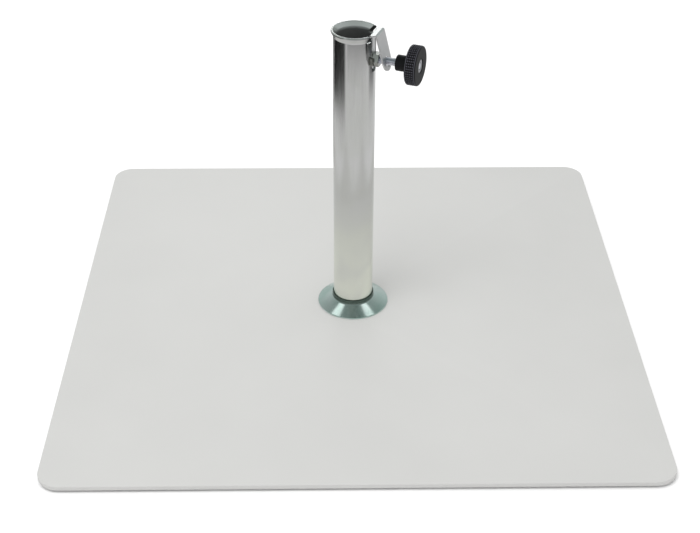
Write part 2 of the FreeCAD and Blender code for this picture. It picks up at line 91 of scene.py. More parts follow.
# %% Round the corners of an outline
def soften(corners, radii, steps=6):
    """The same outline, with each corner turned into an arc of its own radius."""
    rounded = []
    for place, (corner, radius) in enumerate(zip(corners, radii)):
        here = Vector(corner)
        if radius == 0:
            rounded.append(here)
            continue
        back = (Vector(corners[place - 1]) - here).normalized()
        ahead = (Vector(corners[(place + 1) % len(corners)]) - here).normalized()
        half = back.angle(ahead) / 2
        centre = here + (back + ahead).normalized() * radius / math.sin(half)
        start = here + back * radius / math.tan(half) - centre
        side = 1 if back.cross(ahead) < 0 else -1
        for step in range(steps + 1):
            angle = side * (math.pi - 2 * half) * step / steps
            rounded.append(centre + Matrix.Rotation(angle, 2) @ start)
    return rounded


card = [(1, 1), (-1, 1), (-1, -1), (1, -1)]
print("points of a square with soft corners:", len(soften(card, [0.2] * 4)))

# %% [markdown]
# ## Turning on the lathe
# Tubes, rings, knobs and glides are all round, so one tool makes them: an outline of radius and height,
# turned about the Z axis. A Screw modifier would do the same. Plain code is used because the number of
# facets, and the points on the axis, stay in our hands.

# %% Turn an outline round the Z axis
ON_THE_AXIS = 1e-9


def turned(outline, steps):
    """Points and faces of a closed (radius, height) outline turned round Z.

    A place on the axis is a single point."""
    points, rings = [], []
    for radius, height in outline:
        if radius < ON_THE_AXIS:
            rings.append([len(points)] * steps)
            points.append(Vector((0, 0, height)))
            continue
        rings.append(range(len(points), len(points) + steps))
        for step in range(steps):
            angle = 2 * math.pi * step / steps
            points.append(Vector((radius * math.cos(angle), radius * math.sin(angle), height)))
    return points, strips(rings)


def strips(rings):
    """Faces between each ring of points and the next, and from the last back to the first."""
    faces = []
    for ring, following in zip(rings, rings[1:] + rings[:1]):
        steps = len(ring)
        for step in range(steps):
            after = (step + 1) % steps
            face = list(dict.fromkeys((ring[step], ring[after], following[after], following[step])))
            if len(face) > 2:
                faces.append(face)
    return faces


bar = [(0, 0), (1, 0), (1, 1), (0, 1)]
print("faces of a bar turned with 12 facets:", len(turned(bar, 12)[1]))

# %% [markdown]
# ## From points to a piece
# A mesh is a list of points and a list of faces. The normals are made to agree, and the result is one
# closed object. A second tool draws a flat outline out into a block, which gives blanks and straight
# cutters.

# %% Make a piece
def shape(name, points, faces, place=Matrix()):
    """A mesh object from points and faces, moved to its place, with its normals outwards."""
    mesh = bpy.data.meshes.new(name)
    mesh.from_pydata([place @ Vector(point) for point in points], [], faces)
    work = bmesh.new()
    work.from_mesh(mesh)
    bmesh.ops.recalc_face_normals(work, faces=work.faces)
    work.to_mesh(mesh)
    work.free()
    made = bpy.data.objects.new(name, mesh)
    bpy.context.scene.collection.objects.link(made)
    return made


def block(name, outline, start, end, place=Matrix()):
    """An (x, y) outline drawn out along Z from start to end."""
    count = len(outline)
    points = [Vector((x, y, height)) for height in (start, end) for x, y in outline]
    faces = [list(range(count)), list(range(count, 2 * count))]
    for step in range(count):
        after = (step + 1) % count
        faces.append([step, after, after + count, step + count])
    return shape(name, points, faces, place)


# %% [markdown]
# ## Cutting and filing
# Holes and slots are cut with a Boolean, as a drill or a mill cuts them, and a Bevel modifier breaks the
# edges of what was punched. Modifiers could stay live on the piece. Here the result is kept at once, so
# no cutter stays in the scene.

# %% Cut and file a piece
SHARP = math.radians(30)


def keep(piece):
    """Makes what the modifiers show into the piece's own mesh."""
    seen = piece.evaluated_get(bpy.context.evaluated_depsgraph_get())
    mesh = bpy.data.meshes.new_from_object(seen)
    piece.modifiers.clear()
    piece.data = mesh


def cut(piece, *cutters):
    """Cuts each cutter out of the piece and throws the cutter away."""
    for cutter in cutters:
        saw = piece.modifiers.new("saw", "BOOLEAN")
        saw.operation = "DIFFERENCE"
        saw.solver = "EXACT"
        saw.object = cutter
        keep(piece)
        bpy.data.objects.remove(cutter)


def break_edges(piece, width, steps=2):
    """Rounds every sharp edge, as tumbling or a file does."""
    file = piece.modifiers.new("file", "BEVEL")
    file.width = width
    file.segments = steps
    file.limit_method = "ANGLE"
    file.angle_limit = SHARP
    file.harden_normals = False
    keep(piece)


# %% [markdown]
# ## Dressing a piece
# Every piece is finished the same way. It is shaded smooth except at its sharp edges, gets its material,
# rides on one body of the assembly, and takes the place of the engineering node that it was made for.

# %% Dress a piece
def dress(piece, body, finish, slot, *nodes):
    """The shading and the finish, then the body and CAD nodes that the piece stands for. The slot is not used."""
    piece.data.shade_smooth()
    piece.data.set_sharp_from_angle(angle=SHARP)
    even = piece.modifiers.new("even_normals", "WEIGHTED_NORMAL")
    even.keep_sharp = True
    piece.data.materials.clear()
    piece.data.materials.append(finish)
    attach(piece, body)
    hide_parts(*nodes)
    places = list(zip(*(corner.co for corner in piece.data.vertices)))
    size = [round((max(place) - min(place)) / MM, 1) for place in places]
    print(piece.name, "faces:", len(piece.data.polygons), "size in mm:", size)


# %% [markdown]
# ## Colour and node tools
# Colours are written as sRGB hex, as on a paint chart, and the renderer counts in linear light. One
# function turns the first into the second. Another adds a node: a name that is one of the node's inputs
# sets that input or links it, and any other name is a property.

# %% Colour and nodes
def linear(chart):
    """An sRGB hex colour as linear red, green, blue and alpha."""
    parts = [int(chart[place:place + 2], 16) / 255 for place in (1, 3, 5)]
    light = [part / 12.92 if part <= 0.04045 else ((part + 0.055) / 1.055) ** 2.4 for part in parts]
    return (*light, 1.0)


def add(tree, kind, settings):
    """Adds a node: a socket given as a value is linked, and an input's name or number is set.

    Any other name is a property of the node."""
    made = tree.nodes.new(kind)
    for name, value in settings.items():
        if isinstance(name, str) and name not in made.inputs:
            setattr(made, name, value)
        elif isinstance(value, bpy.types.NodeSocket):
            tree.links.new(value, made.inputs[name])
        else:
            made.inputs[name].default_value = value
    return made


def new_finish(name):
    """An empty node material."""
    finish = bpy.data.materials.new(name)
    finish.use_nodes = True
    finish.node_tree.nodes.clear()
    print("finish:", name)
    return finish, finish.node_tree


# %% [markdown]
# ## Powder coat
# The plate is steel with a baked polyester powder coat. The powder melts into a skin with a faint orange
# peel, cells about 2.5 mm wide and a few hundredths of a millimetre high, which breaks up reflections
# without hiding them. The colour is a warm light grey, a touch uneven over a hand's width. At edges the
# melt draws thin, so the colour is a little lighter there.

# %% Powder coat on steel
def powder_coat():
    finish, tree = new_finish("powder_coated_steel")
    place = add(tree, "ShaderNodeTexCoord", {}).outputs["Object"]
    cloud = add(tree, "ShaderNodeTexNoise", {"Vector": place, "Scale": 1 / (90 * MM), "Detail": 2.0})
    speck = add(tree, "ShaderNodeTexNoise", {"Vector": place, "Scale": 1 / (0.8 * MM), "Detail": 2.0})
    peel = add(tree, "ShaderNodeTexNoise", {"Vector": place, "Scale": 1 / (2.5 * MM), "Detail": 1.5})
    cloudy = add(tree, "ShaderNodeMix", {"data_type": "RGBA", 0: cloud.outputs["Fac"],
                                         6: linear("#C1C1BF"), 7: linear("#C6C6C4")})
    fine = add(tree, "ShaderNodeMapRange", {"Value": speck.outputs["Fac"], "To Min": 0.0, "To Max": 0.10,
                                            "From Min": 0.3, "From Max": 0.7})
    specked = add(tree, "ShaderNodeMix", {"data_type": "RGBA", 0: fine.outputs[0],
                                          6: cloudy.outputs[2], 7: linear("#B4B4B1")})
    edge = add(tree, "ShaderNodeNewGeometry", {}).outputs["Pointiness"]
    thin = add(tree, "ShaderNodeMapRange", {"Value": edge, "From Min": 0.52, "From Max": 0.62,
                                            "To Min": 0.0, "To Max": 0.35})
    worn = add(tree, "ShaderNodeMix", {"data_type": "RGBA", 0: thin.outputs[0],
                                       6: specked.outputs[2], 7: linear("#DADAD8")})
    gloss = add(tree, "ShaderNodeMapRange", {"Value": cloud.outputs["Fac"], "To Min": 0.46, "To Max": 0.56})
    bump = add(tree, "ShaderNodeBump", {"Height": peel.outputs["Fac"], "Strength": 0.35,
                                        "Distance": 0.05 * MM})
    coat = add(tree, "ShaderNodeBsdfPrincipled", {"Base Color": worn.outputs[2], "IOR": 1.5,
                                                  "Roughness": gloss.outputs[0], "Normal": bump.outputs[0]})
    add(tree, "ShaderNodeOutputMaterial", {"Surface": coat.outputs[0]})
    return finish


POWDER_COAT = powder_coat()

# %% [markdown]
# ## Zinc plating
# Nearly every other metal piece is steel with a bright zinc plate and a clear blue passivation. The bath
# leaves a mirror that is slightly hazy, and the passivation adds tints that wander between blue-green and
# straw yellow. Drawn tube keeps long fine die lines, so its pattern is stretched along the tube, and
# pressed or turned parts get an even grain. Inside a given radius the colour is painted darker and the
# haze raised: painted shade in the tube's bore, a painted dark reflection on the ring's neck. One
# function makes the family: a metal, with the tints, haze and grain of each piece.

# %% Bright zinc, in several haze grades
# The tube's foot gets a painted reflection: pale and greenish, as if it mirrored the base below.
PAINTED_REFLECTION_CAST = 1.7  # The clouds that carry the tint average a half, so this tints the foot nearly all over.
BORE_FADE = 0.6 * MM


def bright_zinc(name, clean, tint, haze, grain, stretch=(1, 1, 1), tint_size=35, depth=0.01,
                foot=None, bore=None):
    """Zinc plate: clean and tint colours, haze from and to, grain in mm and its stretch along X, Y and Z.

    The foot is a painted reflection: its colour and the two heights in mm between which it fades.
    The bore is a painted dark colour, its radius in mm and its haze."""
    finish, tree = new_finish(name)
    place = add(tree, "ShaderNodeTexCoord", {}).outputs["Object"]
    drawn = add(tree, "ShaderNodeMapping", {"Vector": place, "Scale": stretch})
    wander = add(tree, "ShaderNodeTexNoise", {"Vector": place, "Scale": 1 / (tint_size * MM), "Detail": 2.0,
                                              "Distortion": 0.6})
    lines = add(tree, "ShaderNodeTexNoise", {"Vector": drawn.outputs[0], "Scale": 1 / (grain * MM),
                                             "Detail": 3.0, "Roughness": 0.6})
    patch = add(tree, "ShaderNodeMapRange", {"Value": wander.outputs["Fac"],
                                             "From Min": 0.35, "From Max": 0.7})
    colour = add(tree, "ShaderNodeMix", {"data_type": "RGBA", 0: patch.outputs[0],
                                         6: linear(clean), 7: linear(tint)}).outputs[2]
    # Painted reflection: the colour turns pale and greenish towards the foot, standing in for the base that the
    # tube mirrors.
    if foot:
        level = add(tree, "ShaderNodeSeparateXYZ", {0: place}).outputs[2]
        painted_reflection_tint, fade_start, fade_end = foot
        fade = add(tree, "ShaderNodeMapRange", {"Value": level, "To Min": PAINTED_REFLECTION_CAST, "To Max": 0.0,
                                                "From Min": fade_start * MM, "From Max": fade_end * MM})
        painted_reflection_share = add(tree, "ShaderNodeMath", {"operation": "MULTIPLY", 0: fade.outputs[0],
                                            1: wander.outputs["Fac"]})
        colour = add(tree, "ShaderNodeMix", {"data_type": "RGBA", 0: painted_reflection_share.outputs[0],
                                             6: colour, 7: linear(painted_reflection_tint)}).outputs[2]
    rough = add(tree, "ShaderNodeMapRange", {"Value": lines.outputs["Fac"], "To Min": haze[0],
                                             "To Max": haze[1], "From Min": 0.3, "From Max": 0.7})
    haze_here = rough.outputs[0]
    # Painted dark inside the given radius: painted shade in the tube's bore, a painted reflection on the ring's
    # neck.
    if bore:
        dull, bore_radius, bore_haze = bore
        flat = add(tree, "ShaderNodeVectorMath", {"operation": "MULTIPLY", 0: place, 1: (1, 1, 0)})
        radius = add(tree, "ShaderNodeVectorMath", {"operation": "LENGTH", 0: flat.outputs[0]})
        inside = add(tree, "ShaderNodeMapRange", {"Value": radius.outputs["Value"],
                                                  "From Min": bore_radius * MM,
                                                  "From Max": bore_radius * MM + BORE_FADE,
                                                  "To Min": 1.0, "To Max": 0.0})
        colour = add(tree, "ShaderNodeMix", {"data_type": "RGBA", 0: inside.outputs[0],
                                             6: colour, 7: linear(dull)}).outputs[2]
        haze_here = add(tree, "ShaderNodeMix", {"data_type": "FLOAT", 0: inside.outputs[0],
                                                2: haze_here, 3: bore_haze}).outputs[0]
    bump = add(tree, "ShaderNodeBump", {"Height": lines.outputs["Fac"], "Strength": 0.4,
                                        "Distance": depth * MM})
    metal = add(tree, "ShaderNodeBsdfPrincipled", {"Base Color": colour, "Metallic": 1.0,
                                                   "Roughness": haze_here, "Normal": bump.outputs[0]})
    add(tree, "ShaderNodeOutputMaterial", {"Surface": metal.outputs[0]})
    return finish


ALONG_THE_TUBE = (1, 1, 0.01)
# The tube's foot gets a painted reflection, pale and greenish, fading out between 20 and 150 mm up.
DRAWN_TUBE_ZINC = bright_zinc("zinc_plated_drawn_tube", "#D0D0D0", "#CBCCC9", (0.15, 0.24), 0.5,
                              stretch=ALONG_THE_TUBE, tint_size=45, depth=0.004,
                              foot=("#F6F9EC", 20, 150), bore=("#A4A4A4", 19, 0.55))
# Inside 22.6 mm, on the neck, the ring is painted dark grey-green: a painted reflection of a dark surround.
PRESSED_RING_ZINC = bright_zinc("zinc_plated_pressed_ring", "#D6DFDD", "#BDD2CC", (0.12, 0.18), 1.2,
                                depth=0.006, bore=("#64706A", 22.6, 0.2))
PRESSED_LEAF_ZINC = bright_zinc("zinc_plated_pressed_leaf", "#D4D4D4", "#CCCECF", (0.28, 0.38), 0.6)
SCREW_ZINC = bright_zinc("zinc_plated_screw_thread", "#E6E6EC", "#D8DAE4", (0.24, 0.36), 0.4)
NUT_ZINC = bright_zinc("zinc_plated_nut", "#BFBFBD", "#ACADA9", (0.20, 0.30), 0.7)
DISC_ZINC = bright_zinc("zinc_plated_foot_disc", "#BFC2BF", "#B4B8AC", (0.25, 0.40), 0.9)
WELD_ZINC = bright_zinc("zinc_plated_weld_bead", "#8F8F8C", "#77776F", (0.30, 0.50), 0.9, depth=0.05)

# %% [markdown]
# ## Moulded nylon
# The knob is injection-moulded nylon with glass fibre, dyed through in black. The tool is spark-eroded,
# which leaves a fine even stipple about 0.4 mm across, and the skin is satin. The tops of the grip get a
# painted highlight, a shade lighter, and the grooves stay black, so the colour follows the distance from
# the screw's line.

# %% Black glass-filled nylon
def moulded_nylon():
    finish, tree = new_finish("moulded_black_nylon")
    place = add(tree, "ShaderNodeTexCoord", {}).outputs["Object"]
    stipple = add(tree, "ShaderNodeTexNoise", {"Vector": place, "Scale": 1 / (0.4 * MM), "Detail": 2.0})
    flow = add(tree, "ShaderNodeTexNoise", {"Vector": place, "Scale": 1 / (9 * MM), "Detail": 2.0})
    centred = add(tree, "ShaderNodeVectorMath", {"operation": "SUBTRACT", 0: place,
                                                 1: (0, 0, SCREW_LEVEL)})
    lever = add(tree, "ShaderNodeVectorMath", {"operation": "CROSS_PRODUCT", 0: centred.outputs[0],
                                               1: OUT})
    away = add(tree, "ShaderNodeVectorMath", {"operation": "LENGTH", 0: lever.outputs[0]})
    body = add(tree, "ShaderNodeMix", {"data_type": "RGBA", 0: flow.outputs["Fac"],
                                       6: linear("#08080A"), 7: linear("#101013")})
    # Painted highlight: the tops of the studs are coloured lighter than the grooves, as where light catches them.
    highlight_start, highlight_full = 19.5 * MM, 19.95 * MM
    painted_highlight_share = add(tree, "ShaderNodeMapRange", {"Value": away.outputs["Value"], "From Min": highlight_start,
                                           "From Max": highlight_full, "To Min": 0.0, "To Max": 0.9})
    body_with_painted_highlight = add(tree, "ShaderNodeMix", {"data_type": "RGBA", 0: painted_highlight_share.outputs[0],
                                         6: body.outputs[2], 7: linear("#5A5A62")})
    satin = add(tree, "ShaderNodeMapRange", {"Value": stipple.outputs["Fac"],
                                             "To Min": 0.40, "To Max": 0.56})
    bump = add(tree, "ShaderNodeBump", {"Height": stipple.outputs["Fac"], "Strength": 0.3,
                                        "Distance": 0.03 * MM})
    # The stipple traps light, so the skin mirrors less than polished nylon, whose level would be 0.5.
    nylon = add(tree, "ShaderNodeBsdfPrincipled", {"Base Color": body_with_painted_highlight.outputs[2], "IOR": 1.45,
                                                   "Specular IOR Level": 0.22,
                                                   "Roughness": satin.outputs[0],
                                                   "Normal": bump.outputs[0]})
    add(tree, "ShaderNodeOutputMaterial", {"Surface": nylon.outputs[0]})
    return finish


MOULDED_NYLON = moulded_nylon()

# %% [markdown]
# ## Rubber and turned steel
# The glides are moulded rubber: nearly black, dull, with a dusty bloom that comes and goes over a few
# millimetres. The bush in the knob is turned steel, and its face keeps the circles of the lathe tool, 0.3
# mm apart. A wave of rings round the screw's line draws them, after a mapping turns that line onto X.

# %% Rubber and a turned steel face
def glide_rubber():
    finish, tree = new_finish("moulded_glide_rubber")
    place = add(tree, "ShaderNodeTexCoord", {}).outputs["Object"]
    bloom = add(tree, "ShaderNodeTexNoise", {"Vector": place, "Scale": 1 / (4 * MM), "Detail": 3.0})
    grain = add(tree, "ShaderNodeTexNoise", {"Vector": place, "Scale": 1 / (0.5 * MM), "Detail": 2.0})
    dusty = add(tree, "ShaderNodeMix", {"data_type": "RGBA", 0: bloom.outputs["Fac"],
                                        6: linear("#1B1B1B"), 7: linear("#2E2D2C")})
    dull = add(tree, "ShaderNodeMapRange", {"Value": bloom.outputs["Fac"], "To Min": 0.68, "To Max": 0.86})
    bump = add(tree, "ShaderNodeBump", {"Height": grain.outputs["Fac"], "Strength": 0.4,
                                        "Distance": 0.05 * MM})
    rubber = add(tree, "ShaderNodeBsdfPrincipled", {"Base Color": dusty.outputs[2], "IOR": 1.52,
                                                    "Roughness": dull.outputs[0],
                                                    "Normal": bump.outputs[0]})
    add(tree, "ShaderNodeOutputMaterial", {"Surface": rubber.outputs[0]})
    return finish


def turned_steel():
    finish, tree = new_finish("turned_steel_bush")
    place = add(tree, "ShaderNodeTexCoord", {}).outputs["Object"]
    swing = math.atan2(-OUT.y, OUT.x)
    line = add(tree, "ShaderNodeMapping", {"Vector": place, "Rotation": (0, 0, swing),
                                           "Location": (0, 0, -SCREW_LEVEL)})
    # The wave's phase is 20 times its scale times the distance, so this gives one ring for each feed.
    feed = 0.3 * MM
    rings = add(tree, "ShaderNodeTexWave", {"wave_type": "RINGS", "rings_direction": "X",
                                            "Vector": line.outputs[0], "Scale": math.pi / 10 / feed})
    spots = add(tree, "ShaderNodeTexNoise", {"Vector": place, "Scale": 1 / (2 * MM), "Detail": 2.0})
    colour = add(tree, "ShaderNodeMix", {"data_type": "RGBA", 0: spots.outputs["Fac"],
                                         6: linear("#C9C9CC"), 7: linear("#B4B5BA")})
    rough = add(tree, "ShaderNodeMapRange", {"Value": rings.outputs["Fac"], "To Min": 0.26, "To Max": 0.42})
    bump = add(tree, "ShaderNodeBump", {"Height": rings.outputs["Fac"], "Strength": 0.4,
                                        "Distance": 0.02 * MM})
    steel = add(tree, "ShaderNodeBsdfPrincipled", {"Base Color": colour.outputs[2], "Metallic": 1.0,
                                                   "Roughness": rough.outputs[0],
                                                   "Normal": bump.outputs[0]})
    add(tree, "ShaderNodeOutputMaterial", {"Surface": steel.outputs[0]})
    return finish


GLIDE_RUBBER = glide_rubber()
TURNED_STEEL = turned_steel()

# %% [markdown]
# ## The plate
# The plate is one piece of 5 mm steel, cut square with rounded corners, its edges broken before coating.
# A cube with a bevel would round all twelve edges alike. Here rings of the same outline are stacked
# instead: each ring is the square a little smaller or larger, and the steps between them trace a quarter
# circle. Four countersunk holes in the underside take the screws that hold the foot.

# %% Base plate
PLATE_LOW, PLATE_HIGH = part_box("base_plate")
PLATE_TOP = PLATE_HIGH.z
CORNER_RADIUS = 22 * MM
EDGE_BREAK = 0.8 * MM
EDGE_STEPS = 4
FIXING_CIRCLE = 26.6 * MM


def plate_ring(inset, height, steps=16):
    """The plate's outline, this far inside its true edge."""
    half = PLATE_HIGH.x - inset
    corners = [(half, half), (-half, half), (-half, -half), (half, -half)]
    return [(x, y, height) for x, y in soften(corners, [CORNER_RADIUS - inset] * 4, steps)]


def base_plate():
    levels, flat = [], 4 * EDGE_BREAK
    for step in range(EDGE_STEPS + 1):
        angle = math.pi / 2 * step / EDGE_STEPS
        inset = EDGE_BREAK * (1 - math.sin(angle))
        levels.append((inset, PLATE_LOW.z + EDGE_BREAK * (1 - math.cos(angle))))
    levels += [(inset, PLATE_LOW.z + PLATE_HIGH.z - height) for inset, height in reversed(levels)]
    levels = [(flat, PLATE_LOW.z), *levels, (flat, PLATE_HIGH.z)]
    rings = [plate_ring(inset, height) for inset, height in levels]
    count = len(rings[0])
    points = [point for ring in rings for point in ring]
    places = [range(number * count, (number + 1) * count) for number in range(len(rings))]
    faces = [list(places[0]), list(places[-1])] + strips(places)[:-count]
    plate = shape("steel_plate", points, faces)
    below, sink, sunk, shank, through = -1 * MM, 6.6 * MM, 2.85 * MM, 2.75 * MM, 6 * MM
    drill = [(0, below), (sink, below), (shank, sunk), (shank, through), (0, through)]
    for number in range(4):
        angle = math.radians(45 + 90 * number)
        x, y = FIXING_CIRCLE * math.cos(angle), FIXING_CIRCLE * math.sin(angle)
        cut(plate, shape("drill", *turned(drill, 32), Matrix.Translation((x, y, PLATE_LOW.z))))
    return plate


dress(base_plate(), "base", POWDER_COAT, "powder_coat", "base_plate")

# %% [markdown]
# ## The glides
# Four round rubber pads keep the steel off the paving. Each is moulded with a soft rim and a shallow
# hollow underneath, so that it stands on a ring that grips the ground. A cylinder with a bevel would have
# neither. The lathe tool makes the whole pad from one outline.

# %% Rubber glides
for number in range(1, 5):
    node = f"glide_{number}"
    glide_low, glide_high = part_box(node)
    middle = (glide_low + glide_high) / 2
    radius, tall = (glide_high.x - glide_low.x) / 2, glide_high.z - glide_low.z
    hollow, hollow_wide, ring_inner = 0.4 * MM, radius * 0.55, radius * 0.62
    corners = [(0, hollow), (hollow_wide, hollow), (ring_inner, 0), (radius, 0), (radius, tall), (0, tall)]
    outline = soften(corners, [0, 0.3 * MM, 0.3 * MM, 0.6 * MM, 0.2 * MM, 0], 4)
    spot = Matrix.Translation((middle.x, middle.y, glide_low.z))
    pad = shape(f"rubber_glide_{number}", *turned(outline, 64), spot)
    dress(pad, "base", GLIDE_RUBBER, "rubber", node)

# %% [markdown]
# ## The socket tube
# The tube is 42.4 mm drawn steel. Its rim is flared on a mandrel, so it opens in a short smooth funnel
# with a rounded lip. A notch goes through the flare, where the clamp's leaf bends over the rim, and a
# slot below it lets the leaf's leg lie level with the bore. The round part is turned, then one cutter
# takes out the notch and the slot together.

# %% Socket tube
TUBE_LOW, TUBE_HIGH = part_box("socket_tube")
TUBE_OUT, BORE = 21.2 * MM, frame["record"]["mounts"][0]["dims"]["r_mm"] * MM
RIM, FLARE_FOOT, FLARE_OUT = TUBE_HIGH.z, TUBE_HIGH.z - 6 * MM, 23.6 * MM
NOTCH_NEAR, NOTCH_FAR, SLOT_HALF = -12.5 * MM, 16.5 * MM, 5.75 * MM
NOTCH_FLOOR, SLOT_FLOOR = RIM - 8 * MM, RIM - 41 * MM


def socket_tube():
    lip_tall, lip_wide, bend = 1.8 * MM, 2 * MM, 5 * MM
    corners = [(BORE, TUBE_LOW.z), (TUBE_OUT, TUBE_LOW.z), (TUBE_OUT, FLARE_FOOT),
               (FLARE_OUT, RIM - lip_tall), (FLARE_OUT, RIM), (FLARE_OUT - lip_wide, RIM),
               (BORE, FLARE_FOOT)]
    outline = soften(corners, [0, 0, bend, 1 * MM, 0.9 * MM, 0.8 * MM, bend], 8)
    tube = shape("drawn_socket_tube", *turned(outline, 144))
    above, corner, slot_end = RIM + 5 * MM, 0.6 * MM, 4 * MM
    opening = [(NOTCH_NEAR, NOTCH_FLOOR), (-SLOT_HALF, NOTCH_FLOOR), (-SLOT_HALF, SLOT_FLOOR),
               (SLOT_HALF, SLOT_FLOOR), (SLOT_HALF, NOTCH_FLOOR), (NOTCH_FAR, NOTCH_FLOOR),
               (NOTCH_FAR, above), (NOTCH_NEAR, above)]
    opening = soften(opening, [corner, corner, slot_end, slot_end, corner, corner, 0, 0])
    forward = Matrix((ACROSS, UP, OUT)).transposed().to_4x4()
    in_the_bore, past_the_flare = 5 * MM, 30 * MM
    cut(tube, block("mill", opening, in_the_bore, past_the_flare, forward))
    return tube


dress(socket_tube(), "base", DRAWN_TUBE_ZINC, "bright_zinc", "socket_tube")

# %% [markdown]
# ## The cover ring
# A pressed ring hides the foot disc and its weld. Sheet 1 mm thick is drawn into a shallow cone with a
# short neck round the tube, and its outer edge is turned down onto the plate. The outline is the sheet's
# own section, with soft bends, so the ring is hollow underneath as the real one is.

# %% Cover ring
RING_LOW, RING_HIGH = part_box("cover_ring")


def cover_ring():
    sheet, gap, skirt, cone = 1 * MM, 0.3 * MM, 1.4 * MM, math.radians(24)
    edge, floor, top, neck = RING_HIGH.x, RING_LOW.z, RING_HIGH.z, TUBE_OUT + gap
    slope, under = math.tan(cone), sheet / math.cos(cone)
    fold = floor + skirt + (edge - neck - sheet) * slope
    corners = [(edge, floor), (edge, floor + skirt), (neck + sheet, fold), (neck + sheet, top),
               (neck, top), (neck, fold + sheet * slope - under),
               (edge - sheet, floor + skirt + sheet * slope - under), (edge - sheet, floor)]
    radii = [0.3 * MM, 0.9 * MM, 1.8 * MM, 0.35 * MM, 0.35 * MM, 0.8 * MM, 0.2 * MM, 0.3 * MM]
    return shape("pressed_cover_ring", *turned(soften(corners, radii), 144))


dress(cover_ring(), "base", PRESSED_RING_ZINC, "cover_chrome", "cover_ring")

# %% [markdown]
# ## The weld nut
# A hexagon nut is a bar of hexagon steel, faced with a cone so that its corners are cut to 30 degrees. A
# Boolean of a prism and a cone gives that curve. Working out each ring's radius gives it too, with
# cleaner faces: where the hexagon reaches past the cone, the ring drops back along it.

# %% Weld nut
NUT_SEAT, NUT_END = reach("weld_nut", OUT)
FLAT = 6.5 * MM
SCREW_BORE = 4.05 * MM


def hexagon_reach(angle):
    """Distance from the middle of a hexagon to its side, with a corner at angle 0."""
    return FLAT / math.cos(angle % (math.pi / 3) - math.pi / 6)


def weld_nut(steps=96):
    cone, sink, fall = FLAT - 0.1 * MM, 0.5 * MM, math.tan(math.radians(30))
    rings, points = [], []
    for ring in range(7):
        rings.append(range(len(points), len(points) + steps))
        for step in range(steps):
            angle = 2 * math.pi * step / steps
            side = hexagon_reach(angle)
            drop = max(0, side - cone) * fall
            radius, height = [(SCREW_BORE, NUT_SEAT + sink), (SCREW_BORE + sink, NUT_SEAT),
                              (side, NUT_SEAT), (side, NUT_END - drop), (cone, NUT_END),
                              (SCREW_BORE + sink, NUT_END), (SCREW_BORE, NUT_END - sink)][ring]
            points.append((radius * math.cos(angle), radius * math.sin(angle), height))
    return shape("hexagon_weld_nut", points, strips(rings), SCREW_LINE)


dress(weld_nut(), "base", NUT_ZINC, "zinc_nut", "weld_nut")

# %% [markdown]
# ## The weld beads
# A bead each side holds the nut. Weld metal freezes in overlapping scales, about one a millimetre, so the
# bead is a spindle whose radius swells and shrinks along its length, leaning a little from one scale to
# the next. The seeded random numbers give the same hand each time. What would lie inside the tube or the
# nut is cut away.

# %% Weld beads
def weld_bead(name, side, seed):
    """A bead beside the nut; side is 1 to the left of the screw and -1 to its right."""
    hand = random.Random(seed)
    long, wide, scales, steps = 9.2 * MM, 2.35 * MM, 8, 32
    proud, aside, sway, ripple_deep = 0.4 * MM, 8.1 * MM, 0.12, 0.09
    centre = Vector((NUT_SEAT + proud, side * aside, SCREW_LEVEL))
    lean = [hand.uniform(-sway, sway) * MM for _ in range(scales + 1)]
    points, rings = [], []
    slices = scales * 5
    for number in range(slices + 1):
        share = number / slices
        swell = math.sqrt(max(0.0, 1 - (2 * share - 1) ** 4))
        scale_place = share * scales
        ripple = 1 - ripple_deep * (scale_place % 1) ** 2
        unlike = 0.93 + 0.03 * lean[int(scale_place)] / MM
        radius = wide * swell * ripple * unlike
        height = long * (share - 0.5)
        if radius < ON_THE_AXIS:
            rings.append([len(points)] * steps)
            points.append(centre + Vector((0, 0, height)))
            continue
        rings.append(range(len(points), len(points) + steps))
        for step in range(steps):
            angle = 2 * math.pi * step / steps
            points.append(centre + Vector((radius * math.cos(angle) + lean[int(scale_place)],
                                           radius * math.sin(angle), height)))
    bead = shape(name, points, strips(rings), CLAMP)
    foot, head = SCREW_LEVEL - long, SCREW_LEVEL + long
    wall = [(0, foot), (TUBE_OUT, foot), (TUBE_OUT, head), (0, head)]
    cut(bead, shape("wall", *turned(wall, 144)))
    corners = [math.radians(60 * number) for number in range(6)]
    hexagon = [(hexagon_reach(angle) * math.cos(angle), hexagon_reach(angle) * math.sin(angle))
               for angle in corners]
    over = 3 * MM
    cut(bead, block("nut_side", hexagon, NUT_SEAT - over, NUT_END + over, SCREW_LINE))
    return bead


dress(weld_bead("weld_bead_left", 1, 7), "base", WELD_ZINC, "weld_metal", "nut_weld_left")
dress(weld_bead("weld_bead_right", -1, 11), "base", WELD_ZINC, "weld_metal", "nut_weld_right")

# %% [markdown]
# ## The clamp's leaf
# The leaf is a strip of 1.5 mm sheet, punched flat and folded twice: a narrow leg in the tube's slot, a
# tab over the rim, and a long leg down the outside with a fully round end. It could be built as three
# flat boxes joined by bends. It is made here as in the shop instead, so that its edge stays one smooth
# line: a flat blank is drawn, scored across where it will bend, and folded. This cell gives the two
# outlines that it needs, the folded line seen from the side and the edge of the flat blank.

# %% Outlines of the leaf
SHEET = 1.5 * MM
LEG_FACE = reach("clamp_leaf", OUT)[0]
TILT, TAB_SLOPE = math.radians(14.5), math.radians(10)
LEAF_REACH = 26.8 * MM
TAB_LEVEL = RIM + 0.4 * MM
FOLD_LEVEL = TAB_LEVEL + (LEAF_REACH - LEG_FACE) * math.tan(TAB_SLOPE)
FOLD_ROUND = 2.2 * MM
LEAF_LONG = 40.5 * MM
LEG_FOOT = RIM - 37 * MM


